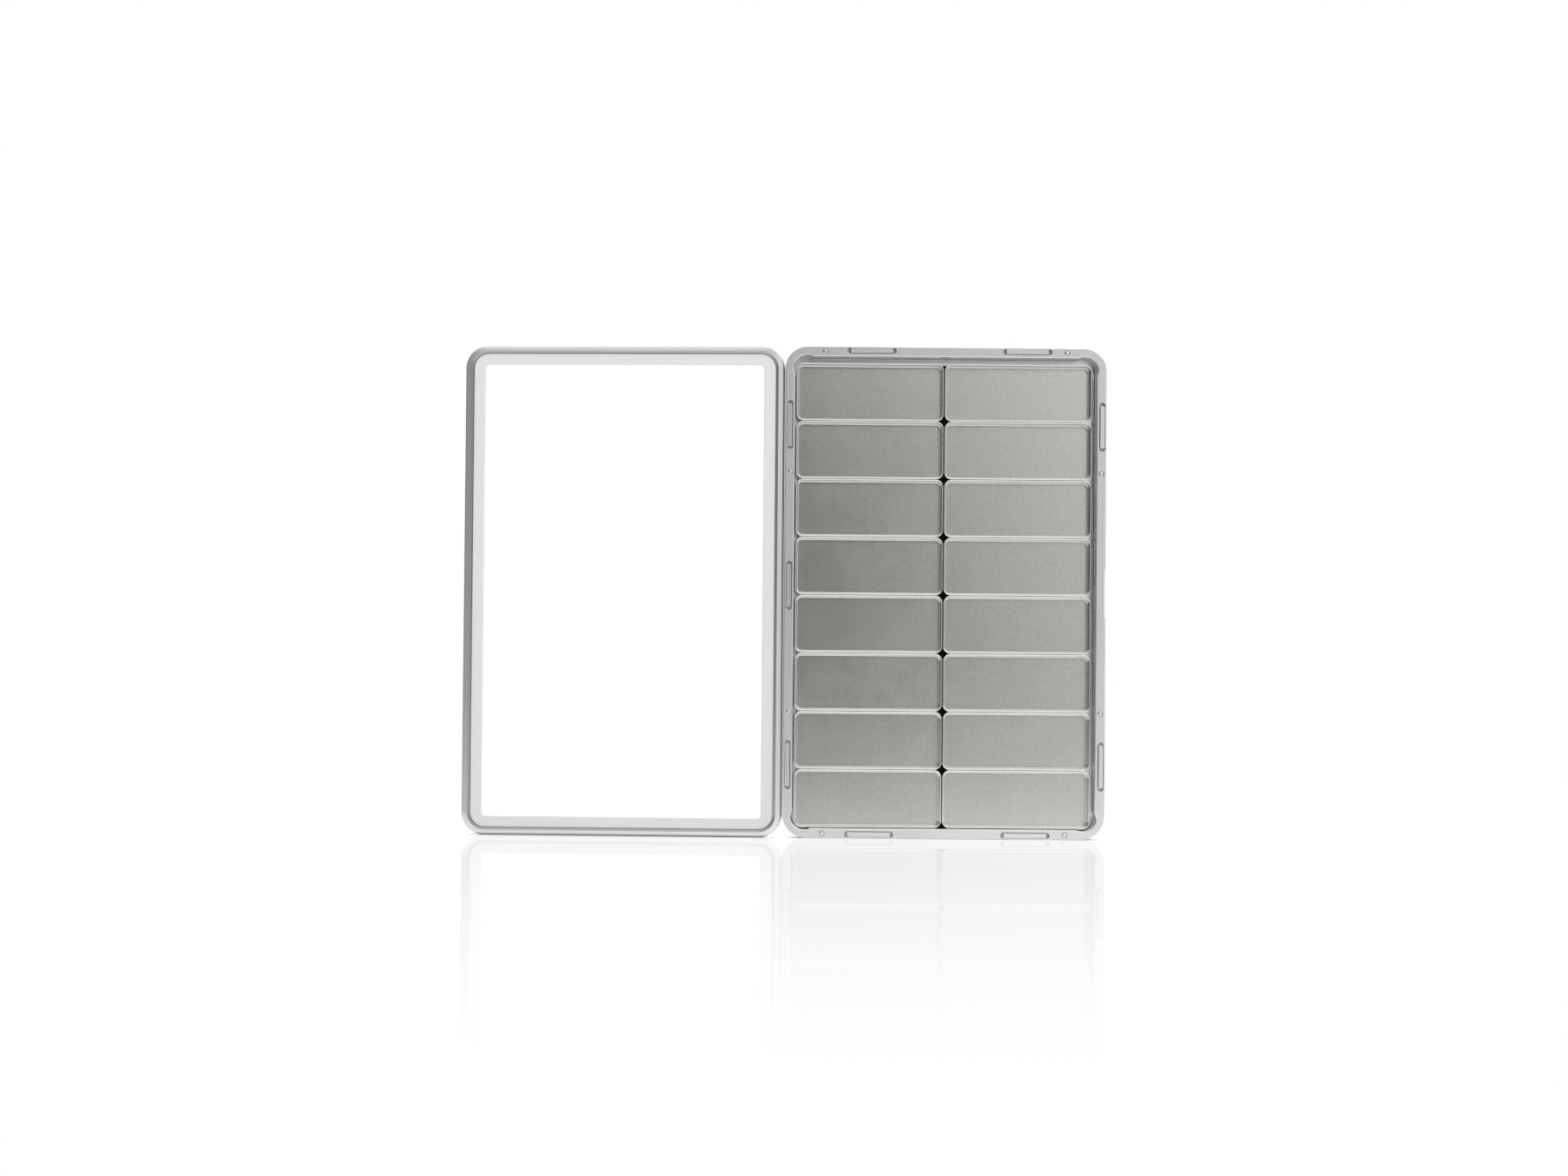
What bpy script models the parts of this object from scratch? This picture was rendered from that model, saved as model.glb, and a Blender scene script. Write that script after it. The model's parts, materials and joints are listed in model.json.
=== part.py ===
"""Watercolour palette tin: a magnetic base with sixteen loose pans, and a lift-off lid that is a mixing tray.

It stands open, the lid beside the base. Metres, +X to the right, +Y away from the open faces, +Z up.
The origin is the middle of the base's standing edge.
"""
import math

import bmesh
import bpy
from mathutils import Matrix

# Pans: drawn steel sheet, lying on their long sides when the tin stands
PAN_COLUMNS = 2
PAN_ROWS = 8
PAN_LENGTH = 0.0420
PAN_WIDTH = 0.01625
PAN_DEPTH = 0.0049
PAN_CORNER = 0.0020
PAN_WALL = 0.00040
PAN_FLOOR = 0.00045
PAN_DRAFT = 0.00015
PAN_FILLET = 0.00025
PAN_RIM_EASE = 0.00015
PAN_GAP = 0.0003

# Room round the block of pans in the base's pocket
ROOM_LEFT = 0.00035
ROOM_RIGHT = 0.00125
ROOM_BELOW = 0.0003
ROOM_ABOVE = 0.0019

# Base: milled aluminium
SIDE_WALL = 0.00285
END_WALL = 0.00285
BASE_FLOOR = 0.0012
CORNER_RADIUS = 0.00645
BACK_FILLET = 0.0015
RIM_CHAMFER = 0.00015
POCKET_CHAMFER = 0.00030
RELIEF_RADIUS = 0.0038
RELIEF_STEP = 0.0004
PAN_RECESS = 0.0011
REST_CLEARANCE = 0.0003
SHEET_THICKNESS = 0.0006

# Finger notch in the base's right side
NOTCH_LENGTH = 0.0145
NOTCH_INSET = 0.0005
NOTCH_RAMP = 0.0012
NOTCH_DEPTH = 0.0032

# Magnets in the rim
BAR_LENGTH = 0.0121
BAR_WIDTH = 0.00135
BAR_DEPTH = 0.0012
BAR_SIDE_ROOM = 0.000155
BAR_END_ROOM = 0.00012
BAR_LIP = 0.00035
BAR_LIP_LEFT = 0.0006
BAR_FROM_LEFT = 0.0246
BAR_FROM_RIGHT = 0.0226
BAR_FROM_BELOW = 0.0208
BAR_FROM_ABOVE = 0.0225
BAR_ABOVE_MIDDLE = 0.0017
DISC_DIAMETER = 0.0013
DISC_DEPTH = 0.0012
DISC_SIDE_ROOM = 0.00015
DISC_LIP = 0.0006
DISC_LIP_LEFT = 0.00085
DISC_FROM_SIDE = 0.0113
DISC_FROM_END = 0.0358
MAGNET_RECESS = 0.00005

# Lid: pressed steel, with the moulded mixing tray in it
LID_FLOOR = 0.0008
LID_WALL = 0.0021
LID_EDGE_RADIUS = 0.00125
LID_BEVEL_WIDTH = 0.0007
LID_BEVEL_DROP = 0.0004
LID_BACK_FILLET = 0.0015
TRAY_SIDE_ROOM = 0.0002
TRAY_RECESS = 0.0006
TRAY_THICKNESS = 0.0019
TRAY_EDGE = 0.0005
WELL_DEPTH = 0.0008
WELL_SIDE_BORDER = 0.0032
WELL_END_BORDER = 0.0029
WELL_SLOPE = 0.0004
WELL_CORNER = 0.0014

# How the lid stands beside the base
LID_GAP = 0.0006
CLOSED_CLEARANCE = 0.0003
OPEN_ANGLE = math.radians(184.4)

# Facets
CORNER_STEPS = 6
PAN_CORNER_STEPS = 4
FILLET_STEPS = 3
PAN_FILLET_STEPS = 2
DISC_SIDES = 12
OVERRUN = 0.001
LEAST_RADIUS = 0.0001

# Sizes that follow
PANS_WIDTH = PAN_COLUMNS * PAN_LENGTH + (PAN_COLUMNS - 1) * PAN_GAP
PANS_HEIGHT = PAN_ROWS * PAN_WIDTH + (PAN_ROWS - 1) * PAN_GAP
POCKET_WIDTH = ROOM_LEFT + PANS_WIDTH + ROOM_RIGHT
POCKET_HEIGHT = ROOM_BELOW + PANS_HEIGHT + ROOM_ABOVE
BASE_WIDTH = POCKET_WIDTH + 2 * SIDE_WALL
BASE_HEIGHT = POCKET_HEIGHT + 2 * END_WALL
POCKET_DEPTH = PAN_RECESS + PAN_DEPTH + REST_CLEARANCE + SHEET_THICKNESS + REST_CLEARANCE
BASE_DEPTH = POCKET_DEPTH + BASE_FLOOR
LID_DEPTH = TRAY_RECESS + WELL_DEPTH + TRAY_THICKNESS + REST_CLEARANCE + LID_FLOOR
RIM_Y = -BASE_DEPTH / 2
POCKET_FLOOR_Y = RIM_Y + POCKET_DEPTH
SHEET_FRONT_Y = POCKET_FLOOR_Y - REST_CLEARANCE - SHEET_THICKNESS
PAN_BACK_Y = SHEET_FRONT_Y - REST_CLEARANCE
PANS_LEFT = -POCKET_WIDTH / 2 + ROOM_LEFT
PANS_BELOW = END_WALL + ROOM_BELOW
SLOT_WIDTH = BAR_WIDTH + 2 * BAR_SIDE_ROOM
HOLE_DIAMETER = DISC_DIAMETER + 2 * DISC_SIDE_ROOM


def clear_scene():
    for old in list(bpy.data.objects):
        bpy.data.objects.remove(old)


def make_material(name, colour, roughness, metallic):
    material = bpy.data.materials.new(name)
    material.use_nodes = True
    shader = material.node_tree.nodes["Principled BSDF"]
    shader.inputs["Base Color"].default_value = (*colour, 1)
    shader.inputs["Roughness"].default_value = roughness
    shader.inputs["Metallic"].default_value = metallic
    return material


def add_object(name, mesh, material=None, parent=None, location=(0, 0, 0)):
    piece = bpy.data.objects.new(name, mesh)
    bpy.context.collection.objects.link(piece)
    piece.location = location
    piece.parent = parent
    if material is not None and not mesh.materials:
        mesh.materials.append(material)
    return piece


def rounded_outline(width, height, radius, steps=CORNER_STEPS):
    """Points of a rounded rectangle centred on the origin, anticlockwise from the right-hand side."""
    radius = max(min(radius, width / 2, height / 2), LEAST_RADIUS)
    points = []
    for quarter in range(4):
        middle_x = (width / 2 - radius) * (1 if quarter in (0, 3) else -1)
        middle_z = (height / 2 - radius) * (1 if quarter in (0, 1) else -1)
        for step in range(steps + 1):
            angle = math.pi / 2 * (quarter + step / steps)
            points.append((middle_x + radius * math.cos(angle), middle_z + radius * math.sin(angle)))
    return points


def inset_outline(width, height, radius, inset, steps=CORNER_STEPS):
    return rounded_outline(width - 2 * inset, height - 2 * inset, radius - inset, steps)


def relieved_outline(width, height, outset):
    """The pocket's outline: each corner is a round relief past both walls, as an end mill leaves it."""
    reach = RELIEF_RADIUS - RELIEF_STEP
    radius = RELIEF_RADIUS + outset
    crossing = math.acos((reach + outset) / radius)
    points = []
    for quarter in range(4):
        middle_x = (width / 2 - reach) * (1 if quarter in (0, 3) else -1)
        middle_z = (height / 2 - reach) * (1 if quarter in (0, 1) else -1)
        start = math.pi / 2 * quarter - crossing
        sweep = math.pi / 2 + 2 * crossing
        for step in range(2 * CORNER_STEPS + 1):
            angle = start + sweep * step / (2 * CORNER_STEPS)
            points.append((middle_x + radius * math.cos(angle), middle_z + radius * math.sin(angle)))
    return points


def slot_outline(length, width):
    """A round-ended slot along X."""
    straight = (length - width) / 2
    points = []
    for end in (1, -1):
        for step in range(2 * FILLET_STEPS + 1):
            angle = math.pi * (step / (2 * FILLET_STEPS) - 0.5)
            points.append((end * (straight + width / 2 * math.cos(angle)), end * width / 2 * math.sin(angle)))
    return points


def bar_outline(length, width):
    corners = ((1, -1), (1, 1), (-1, 1), (-1, -1))
    return [(side * length / 2, edge * width / 2) for side, edge in corners]


def circle_outline(diameter, sides):
    turns = [2 * math.pi * step / sides for step in range(sides)]
    return [(diameter / 2 * math.cos(turn), diameter / 2 * math.sin(turn)) for turn in turns]


def loft(name, sections):
    """One closed body through outlines of equal length, each given with its y."""
    shape = bmesh.new()
    rings = [[shape.verts.new((x, y, z)) for x, z in outline] for outline, y in sections]
    for near, far in zip(rings, rings[1:]):
        for index, corner in enumerate(near):
            following = (index + 1) % len(near)
            shape.faces.new((corner, near[following], far[following], far[index]))
    shape.faces.new(rings[0])
    shape.faces.new(reversed(rings[-1]))
    bmesh.ops.recalc_face_normals(shape, faces=shape.faces)
    mesh = bpy.data.meshes.new(name)
    shape.to_mesh(mesh)
    shape.free()
    mesh.shade_smooth()
    mesh.set_sharp_from_angle(angle=math.radians(35))
    return mesh


def quarter_round(radius, steps=FILLET_STEPS):
    """Inset and distance along a rounded edge, from the flat face round to the side."""
    turns = [math.pi / 2 * step / steps for step in range(steps + 1)]
    return [(radius * (1 - math.sin(turn)), radius * (1 - math.cos(turn))) for turn in turns]


def merged(name, parts):
    """One mesh out of several closed ones, each given with its x, its z and its turn about Y."""
    shape = bmesh.new()
    for mesh, x, z, turn in parts:
        placed = mesh.copy()
        placed.transform(Matrix.Translation((x, 0, z)) @ Matrix.Rotation(turn, 4, "Y"))
        shape.from_mesh(placed)
        bpy.data.meshes.remove(placed)
    whole = bpy.data.meshes.new(name)
    shape.to_mesh(whole)
    shape.free()
    return whole


def cut(piece, name, mesh):
    cutter = add_object(name, mesh, parent=piece)
    cutter.hide_render = True
    cutter.display_type = "WIRE"
    modifier = piece.modifiers.new(name, "BOOLEAN")
    modifier.operation = "DIFFERENCE"
    modifier.solver = "EXACT"
    modifier.object = cutter


def magnet_lines(lip, lip_left, size):
    """The x of the left and right magnets and the z of the low and high ones, with the lip outside each."""
    side = BASE_WIDTH / 2
    reach = lip + size / 2
    return -side + lip_left + size / 2, side - reach, reach, BASE_HEIGHT - reach


def bar_places():
    """x, z and turn of each bar magnet, in order round the rim from the lower left."""
    left, right, low, high = magnet_lines(BAR_LIP, BAR_LIP_LEFT, SLOT_WIDTH)
    first = -BASE_WIDTH / 2 + BAR_FROM_LEFT
    second = BASE_WIDTH / 2 - BAR_FROM_RIGHT
    upright = math.pi / 2
    lower_z = BAR_FROM_BELOW
    upper_z = BASE_HEIGHT - BAR_FROM_ABOVE
    middle_z = BASE_HEIGHT / 2 + BAR_ABOVE_MIDDLE
    return [
        (first, low, 0.0), (second, low, 0.0),
        (right, lower_z, upright), (right, upper_z, upright),
        (second, high, 0.0), (first, high, 0.0),
        (left, upper_z, upright), (left, middle_z, upright), (left, lower_z, upright),
    ]


def disc_places():
    left, right, low, high = magnet_lines(DISC_LIP, DISC_LIP_LEFT, HOLE_DIAMETER)
    first = -BASE_WIDTH / 2 + DISC_FROM_SIDE
    second = BASE_WIDTH / 2 - DISC_FROM_SIDE
    lower_z = DISC_FROM_END
    upper_z = BASE_HEIGHT - DISC_FROM_END
    return [
        (first, low), (second, low), (right, lower_z), (right, upper_z),
        (second, high), (first, high), (left, upper_z), (left, lower_z),
    ]


def notch_mesh():
    """The finger notch's cutter: a trapezium with ramped ends, open to the right and to the front."""
    side = BASE_WIDTH / 2
    half = NOTCH_LENGTH / 2
    outline = [
        (side + OVERRUN, -half), (side, -half), (side - NOTCH_INSET, -half + NOTCH_RAMP),
        (side - NOTCH_INSET, half - NOTCH_RAMP), (side, half), (side + OVERRUN, half),
    ]
    return loft("finger_notch", [(outline, RIM_Y - OVERRUN), (outline, RIM_Y + NOTCH_DEPTH)])


def pocket_mesh():
    """The pocket's cutter, with its chamfer carried on past the rim."""
    mouth = POCKET_CHAMFER + OVERRUN
    sections = [
        (relieved_outline(POCKET_WIDTH, POCKET_HEIGHT, mouth), RIM_Y - OVERRUN),
        (relieved_outline(POCKET_WIDTH, POCKET_HEIGHT, 0), RIM_Y + POCKET_CHAMFER),
        (relieved_outline(POCKET_WIDTH, POCKET_HEIGHT, 0), POCKET_FLOOR_Y),
    ]
    return loft("pocket", sections)


def magnet_seats():
    """The round-ended slots and drilled holes that the magnets lie in, each with its place."""
    slot_length = BAR_LENGTH + 2 * BAR_END_ROOM + SLOT_WIDTH
    slot_floor = RIM_Y + MAGNET_RECESS + BAR_DEPTH + REST_CLEARANCE
    outline = slot_outline(slot_length, SLOT_WIDTH)
    slot = loft("slot", [(outline, RIM_Y - OVERRUN), (outline, slot_floor)])
    hole_floor = RIM_Y + MAGNET_RECESS + DISC_DEPTH + REST_CLEARANCE
    outline = circle_outline(HOLE_DIAMETER, DISC_SIDES)
    hole = loft("hole", [(outline, RIM_Y - OVERRUN), (outline, hole_floor)])
    return [(slot, *place) for place in bar_places()] + [(hole, *place, 0.0) for place in disc_places()]


def build_base():
    aluminium = make_material("satin_aluminium", (0.66, 0.66, 0.65), 0.38, 1.0)
    back_y = RIM_Y + BASE_DEPTH
    sections = [
        (inset_outline(BASE_WIDTH, BASE_HEIGHT, CORNER_RADIUS, inset), back_y - drop)
        for inset, drop in quarter_round(BACK_FILLET)
    ]
    for inset, y in ((0, RIM_Y + RIM_CHAMFER), (RIM_CHAMFER, RIM_Y)):
        sections.append((inset_outline(BASE_WIDTH, BASE_HEIGHT, CORNER_RADIUS, inset), y))
    base = add_object("base_tray", loft("base_tray", sections), aluminium)
    base.data.transform(Matrix.Translation((0, 0, BASE_HEIGHT / 2)))

    # One cut for pocket and seats together: cut one by one, they leave slivers in the rim
    cut(base, "notch_cutter", merged("notch_cutter", [(notch_mesh(), 0, BASE_HEIGHT / 2, 0.0)]))
    milling = [(pocket_mesh(), 0, BASE_HEIGHT / 2, 0.0)] + magnet_seats()
    cut(base, "milling_cutter", merged("milling_cutter", milling))
    return base


def build_magnets(base):
    nickel = make_material("nickel_plate", (0.62, 0.61, 0.59), 0.30, 1.0)
    front = RIM_Y + MAGNET_RECESS
    outline = bar_outline(BAR_LENGTH, BAR_WIDTH)
    bar_mesh = loft("bar_magnet", [(outline, front), (outline, front + BAR_DEPTH)])
    for number, (x, z, turn) in enumerate(bar_places(), 1):
        bar = add_object(f"bar_magnet_{number}", bar_mesh, nickel, base, (x, 0, z))
        bar.rotation_euler[1] = turn
    outline = circle_outline(DISC_DIAMETER, DISC_SIDES)
    disc_mesh = loft("disc_magnet", [(outline, front), (outline, front + DISC_DEPTH)])
    for number, (x, z) in enumerate(disc_places(), 1):
        add_object(f"disc_magnet_{number}", disc_mesh, nickel, base, (x, 0, z))


def build_magnet_sheet(base):
    rubber = make_material("magnetic_rubber", (0.028, 0.027, 0.026), 0.75, 0.0)
    outline = rounded_outline(PANS_WIDTH, PANS_HEIGHT, PAN_CORNER)
    mesh = loft("magnet_sheet", [(outline, SHEET_FRONT_Y), (outline, SHEET_FRONT_Y + SHEET_THICKNESS)])
    place = (PANS_LEFT + PANS_WIDTH / 2, 0, PANS_BELOW + PANS_HEIGHT / 2)
    add_object("magnet_sheet", mesh, rubber, base, place)


def pan_mesh():
    """One pan about the middle of its back: drafted sides, a rounded foot, an eased rim and an open front."""
    def section(inset, y):
        return (inset_outline(PAN_LENGTH, PAN_WIDTH, PAN_CORNER, inset, PAN_CORNER_STEPS), y)

    fillet = quarter_round(PAN_FILLET, PAN_FILLET_STEPS)
    foot = PAN_WALL + PAN_DRAFT
    outside = [section(PAN_DRAFT + inset, -drop) for inset, drop in fillet]
    rim = [
        section(0, -PAN_DEPTH + PAN_RIM_EASE), section(PAN_RIM_EASE, -PAN_DEPTH),
        section(PAN_WALL - PAN_RIM_EASE, -PAN_DEPTH), section(PAN_WALL, -PAN_DEPTH + PAN_RIM_EASE),
    ]
    inside = [section(foot + inset, -PAN_FLOOR - drop) for inset, drop in reversed(fillet)]
    return loft("pan", outside + rim + inside)


def build_pans(base):
    steel = make_material("drawn_steel", (0.48, 0.47, 0.45), 0.42, 1.0)
    mesh = pan_mesh()
    sides = ("left", "right") if PAN_COLUMNS == 2 else [f"column_{n + 1}" for n in range(PAN_COLUMNS)]
    for column, side in enumerate(sides):
        for row in range(PAN_ROWS):
            x = PANS_LEFT + PAN_LENGTH / 2 + column * (PAN_LENGTH + PAN_GAP)
            z = PANS_BELOW + PANS_HEIGHT - PAN_WIDTH / 2 - row * (PAN_WIDTH + PAN_GAP)
            add_object(f"pan_{side}_{row + 1}", mesh, steel, base, (x, PAN_BACK_Y, z))


def lid_pivot():
    """The line that the lid is carried round: in the gap, just in front of both rims."""
    pivot = bpy.data.objects.new("lid_pivot", None)
    bpy.context.collection.objects.link(pivot)
    pivot.location = (-BASE_WIDTH / 2 - LID_GAP / 2, RIM_Y - CLOSED_CLEARANCE / 2, 0)
    pivot.rotation_euler[2] = math.pi - OPEN_ANGLE
    return pivot


def build_lid_shell(pivot, place):
    steel = make_material("brushed_steel", (0.60, 0.60, 0.59), 0.36, 1.0)

    def section(inset, y):
        return (inset_outline(BASE_WIDTH, BASE_HEIGHT, CORNER_RADIUS, inset), y)

    back = [section(inset, LID_DEPTH - drop) for inset, drop in quarter_round(LID_BACK_FILLET)]
    edge = [section(inset, drop) for inset, drop in reversed(quarter_round(LID_EDGE_RADIUS))]
    crest = [section(LID_WALL - LID_BEVEL_WIDTH, 0)]
    inside = [section(LID_WALL, LID_BEVEL_DROP), section(LID_WALL, LID_DEPTH - LID_FLOOR)]
    add_object("lid_shell", loft("lid_shell", back + edge + crest + inside), steel, pivot, place)


def build_mixing_tray(pivot, place):
    white = make_material("white_moulding", (0.86, 0.86, 0.85), 0.35, 0.0)
    edge = LID_WALL + TRAY_SIDE_ROOM
    width = BASE_WIDTH - 2 * edge
    height = BASE_HEIGHT - 2 * edge
    corner = CORNER_RADIUS - edge
    back_y = LID_DEPTH - LID_FLOOR - REST_CLEARANCE
    well_y = TRAY_RECESS + WELL_DEPTH

    def well(inset):
        well_width = width - 2 * WELL_SIDE_BORDER
        well_height = height - 2 * WELL_END_BORDER
        return inset_outline(well_width, well_height, WELL_CORNER + WELL_SLOPE, inset)

    sections = [(inset_outline(width, height, corner, 0), back_y)]
    for inset, drop in reversed(quarter_round(TRAY_EDGE)):
        sections.append((inset_outline(width, height, corner, inset), TRAY_RECESS + drop))
    sections += [(well(0), TRAY_RECESS), (well(WELL_SLOPE), well_y)]
    add_object("mixing_tray", loft("mixing_tray", sections), white, pivot, place)


def build_tin():
    clear_scene()
    base = build_base()
    build_magnets(base)
    build_magnet_sheet(base)
    build_pans(base)
    pivot = lid_pivot()
    place = (-(LID_GAP + BASE_WIDTH) / 2, CLOSED_CLEARANCE / 2, BASE_HEIGHT / 2)
    build_lid_shell(pivot, place)
    build_mixing_tray(pivot, place)


build_tin()
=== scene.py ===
import json
import math

import bmesh
import bpy
from mathutils import Matrix, Vector


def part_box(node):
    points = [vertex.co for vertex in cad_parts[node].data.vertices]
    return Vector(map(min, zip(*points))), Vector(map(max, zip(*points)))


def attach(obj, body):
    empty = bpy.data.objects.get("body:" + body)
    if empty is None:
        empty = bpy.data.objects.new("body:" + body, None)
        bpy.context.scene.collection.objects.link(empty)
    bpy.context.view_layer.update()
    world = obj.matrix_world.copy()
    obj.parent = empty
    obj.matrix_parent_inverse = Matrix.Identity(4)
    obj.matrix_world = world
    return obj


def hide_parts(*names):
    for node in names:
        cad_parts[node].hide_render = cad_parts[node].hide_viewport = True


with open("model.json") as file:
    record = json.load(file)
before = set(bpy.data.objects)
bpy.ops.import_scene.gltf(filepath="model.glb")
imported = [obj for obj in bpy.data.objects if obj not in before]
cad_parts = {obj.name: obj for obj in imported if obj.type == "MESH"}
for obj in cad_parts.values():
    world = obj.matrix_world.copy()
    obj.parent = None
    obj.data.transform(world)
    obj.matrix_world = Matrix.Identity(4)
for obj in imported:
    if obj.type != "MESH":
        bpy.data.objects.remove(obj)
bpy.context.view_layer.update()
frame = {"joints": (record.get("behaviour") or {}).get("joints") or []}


# Base tray. Milled from aluminium plate and bead blasted, with edges that were cut bright afterwards. Its
# pocket is left as milled, with a round relief in each corner so that the square block of pans goes right
# home, and the cutter ramped in and out of the finger notch in its right side.
tray_low, tray_high = (Vector(corner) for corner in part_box("base_tray"))
tray_width, tray_depth, tray_height = tray_high - tray_low
tray_corner = 0.00645
tray_back_fillet = 0.0015
tray_ease = 0.0002
side_wall = 0.00285
end_wall = 0.00285
tray_floor = 0.0012
pocket_ease = 0.0003
pocket_foot = 0.0003
foot_middle = 0.3 * pocket_foot
relief_radius = 0.0038
relief_step = 0.0004
notch_length = 0.0145
notch_inset = 0.0005
notch_ramp = 0.0012
notch_depth = 0.0032
pocket_polish = 0.4
# Painted shade: the seats round the magnets are darkened to this share of their colour.
painted_gap_shade = 0.6
patch_share = 0.06
roughness_spread = 0.01
overrun = 0.001
corner_steps = 16


def arc(centre_x, centre_y, radius, start, end, steps=6):
    """Points along an arc; the angles are in degrees, anticlockwise from +X."""
    turns = [math.radians(start + (end - start) * step / steps) for step in range(steps + 1)]
    return [(centre_x + radius * math.cos(turn), centre_y + radius * math.sin(turn)) for turn in turns]


def add_node(tree, kind, inputs=(), **settings):
    """A node with its settings, and its inputs by socket name or number: a value, or a socket to link."""
    node = tree.nodes.new(kind)
    for name, value in settings.items():
        setattr(node, name, value)
    for name, value in dict(inputs).items():
        if isinstance(value, bpy.types.NodeSocket):
            tree.links.new(value, node.inputs[name])
        else:
            node.inputs[name].default_value = value
    return node


def sweep_tree():
    """Sweeps a wall's cross-section round a rounded rectangle: an open ring, for closing afterwards."""
    tree = bpy.data.node_groups.new("swept_wall", "GeometryNodeTree")
    sockets = tree.interface
    sockets.new_socket("Section", in_out="INPUT", socket_type="NodeSocketGeometry")
    for name in ("Length", "Width", "Corner"):
        sockets.new_socket(name, in_out="INPUT", socket_type="NodeSocketFloat")
    sockets.new_socket("Corner Steps", in_out="INPUT", socket_type="NodeSocketInt")
    sockets.new_socket("Finish", in_out="INPUT", socket_type="NodeSocketMaterial")
    sockets.new_socket("Wall", in_out="OUTPUT", socket_type="NodeSocketGeometry")
    given = tree.nodes.new("NodeGroupInput").outputs
    drawn = add_node(tree, "GeometryNodeMeshToCurve", {"Mesh": given["Section"]})
    section = add_node(tree, "GeometryNodeTransform", {0: drawn.outputs[0], "Scale": (1, -1, 1)})
    outline = add_node(tree, "GeometryNodeCurvePrimitiveQuadrilateral", {
        "Width": given["Length"], "Height": given["Width"]})
    rounded = add_node(tree, "GeometryNodeFilletCurve", {
        "Curve": outline.outputs[0], "Count": given["Corner Steps"], "Radius": given["Corner"]}, mode="POLY")
    level = add_node(tree, "GeometryNodeSetCurveNormal", {"Curve": rounded.outputs[0]}, mode="Z_UP")
    wall = add_node(tree, "GeometryNodeCurveToMesh", {
        "Curve": level.outputs[0], "Profile Curve": section.outputs[0]})
    real = add_node(tree, "GeometryNodeRealizeInstances", {0: wall.outputs[0]})
    finished = add_node(tree, "GeometryNodeSetMaterial", {0: real.outputs[0], "Material": given["Finish"]})
    tree.links.new(finished.outputs[0], tree.nodes.new("NodeGroupOutput").inputs[0])
    return tree


def run_tree(name, start_mesh, tree, values):
    """Runs a tree on a mesh and returns the result as a plain mesh; the values go by the inputs' names."""
    holder = bpy.data.objects.new(name, start_mesh)
    bpy.context.collection.objects.link(holder)
    modifier = holder.modifiers.new(name, "NODES")
    modifier.node_group = tree
    for socket in tree.interface.items_tree:
        if socket.in_out == "INPUT" and socket.name in values:
            modifier[socket.identifier] = values[socket.name]
    depsgraph = bpy.context.evaluated_depsgraph_get()
    mesh = bpy.data.meshes.new_from_object(holder.evaluated_get(depsgraph), depsgraph=depsgraph)
    mesh.name = name
    for index in reversed(range(len(mesh.materials))):
        if mesh.materials[index] is None:
            mesh.materials.pop(index=index)
    bpy.data.objects.remove(holder)
    return mesh


def close_and_shade(mesh, sharp_angle=30):
    """Closes a mesh's open rings, turns its faces outwards and shades it smooth between its sharp edges."""
    shape = bmesh.new()
    shape.from_mesh(mesh)
    bmesh.ops.holes_fill(shape, edges=shape.edges)
    bmesh.ops.recalc_face_normals(shape, faces=shape.faces)
    shape.to_mesh(mesh)
    shape.free()
    mesh.shade_smooth()
    mesh.set_sharp_from_angle(angle=math.radians(sharp_angle))


def add_piece(name, mesh):
    """A finished piece, whose large flat faces stay flat while its roundings and fillets look smooth."""
    piece = bpy.data.objects.new(name, mesh)
    bpy.context.collection.objects.link(piece)
    shading = piece.modifiers.new("flat_faces", "WEIGHTED_NORMAL")
    shading.keep_sharp = True
    return piece


def section_mesh(name, points):
    """A line of edges through the points, with how polished each one is as an attribute."""
    mesh = bpy.data.meshes.new(name)
    mesh.from_pydata([(point[0], point[1], 0) for point in points],
                     [(number, number + 1) for number in range(len(points) - 1)], [])
    polish = mesh.attributes.new("polish", "FLOAT", "POINT")
    polish.data.foreach_set("value", [point[2] if len(point) > 2 else 0.0 for point in points])
    return mesh


wall_sweep = sweep_tree()


def swept_mesh(name, section, length, width, corner, finish, place):
    """A closed mesh made by the sweep: a section's x runs outwards from the outline, its y from the back."""
    mesh = run_tree(name, section_mesh(name + "_section", section), wall_sweep, {
        "Length": length, "Width": width, "Corner": corner, "Corner Steps": corner_steps, "Finish": finish})
    close_and_shade(mesh)
    mesh.transform(place @ Matrix.Rotation(math.pi / 2, 4, "X"))
    return mesh


def loft(name, sections):
    """A closed body, for a cutter, through outlines in X and Z of equally many points, each with its y."""
    shape = bmesh.new()
    rings = [[shape.verts.new((x, y, z)) for x, z in outline] for outline, y in sections]
    for near, far in zip(rings, rings[1:]):
        for index, corner in enumerate(near):
            following = (index + 1) % len(near)
            shape.faces.new((corner, near[following], far[following], far[index]))
    shape.faces.new(rings[0])
    shape.faces.new(reversed(rings[-1]))
    bmesh.ops.recalc_face_normals(shape, faces=shape.faces)
    mesh = bpy.data.meshes.new(name)
    shape.to_mesh(mesh)
    shape.free()
    return mesh


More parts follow.
